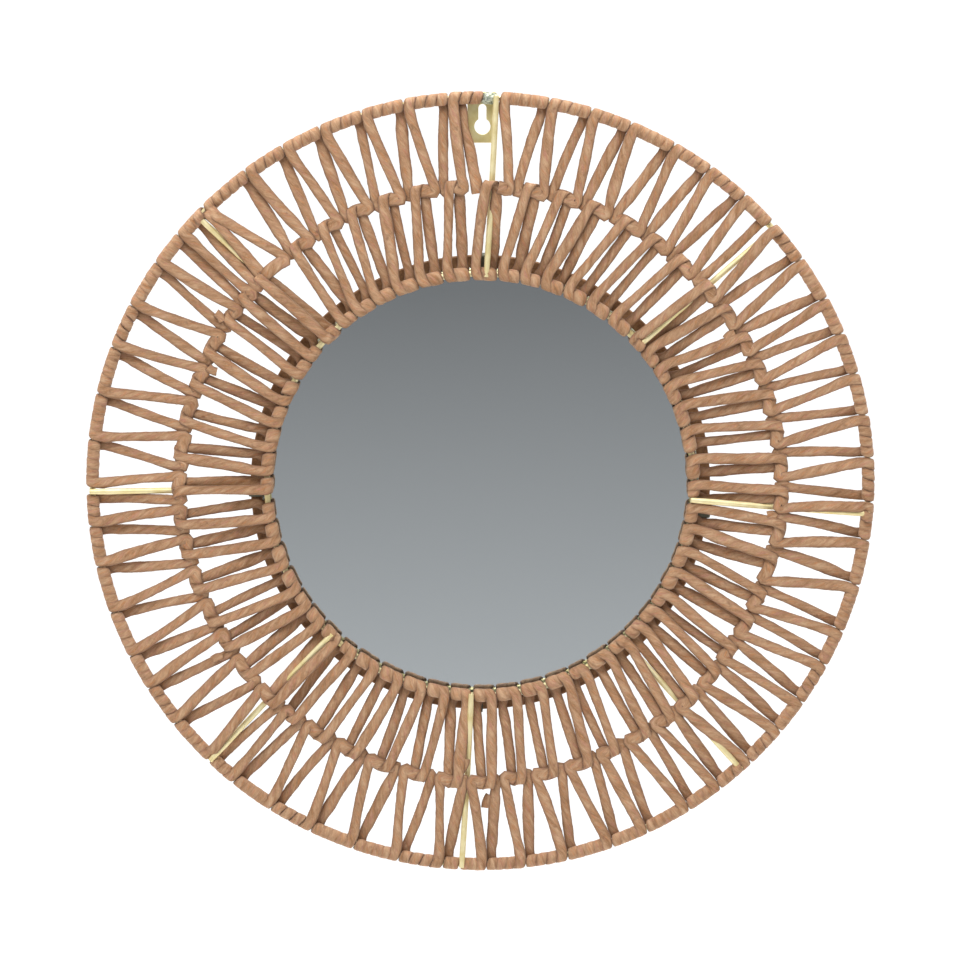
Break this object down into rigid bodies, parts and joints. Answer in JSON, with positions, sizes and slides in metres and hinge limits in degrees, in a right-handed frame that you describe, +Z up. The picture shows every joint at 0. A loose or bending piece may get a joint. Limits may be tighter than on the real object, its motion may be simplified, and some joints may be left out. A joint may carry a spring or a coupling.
{
  "type": "round wall mirror",
  "caption": "Round wall mirror in a welded wire frame netted with flat paper cord, hung by a keyhole plate.",
  "frame": {"origin": "on the hanger plate's flat back face, centred across the plate, 2 mm above its lower edge and just below the keyhole", "axes": "+Z up, +Y out of the back towards the wall, so the glass faces -Y, and +X to the right of someone facing the glass"},
  "size_m": [0.399, 0.0207, 0.3988],
  "materials": {
    "gold_wire": "pale gold lacquer, satin",
    "gold_plate": "pale gold lacquer, satin",
    "mirror_glass": "polished, back-silvered",
    "backing_board": "brown fibreboard, matte",
    "dark_clip": "dark grey-green steel",
    "paper_cord": "twisted flat paper cord, natural brown, matte"
  },
  "bodies": {
    "root": {"outer_ring": "gold_wire", "inner_ring": "gold_wire", "spoke_1": "gold_wire", "spoke_2": "gold_wire", "spoke_3": "gold_wire", "spoke_4": "gold_wire", "spoke_5": "gold_wire", "spoke_6": "gold_wire", "spoke_7": "gold_wire", "spoke_8": "gold_wire", "hanger_plate": "gold_plate", "mirror_glass": "mirror_glass", "backing_board": "backing_board", "board_clip_1": "dark_clip", "board_clip_2": "dark_clip", "board_clip_3": "dark_clip", "board_clip_4": "dark_clip", "cord_weave_right": "paper_cord", "cord_weave_left": "paper_cord"}
  },
  "joints": []
}
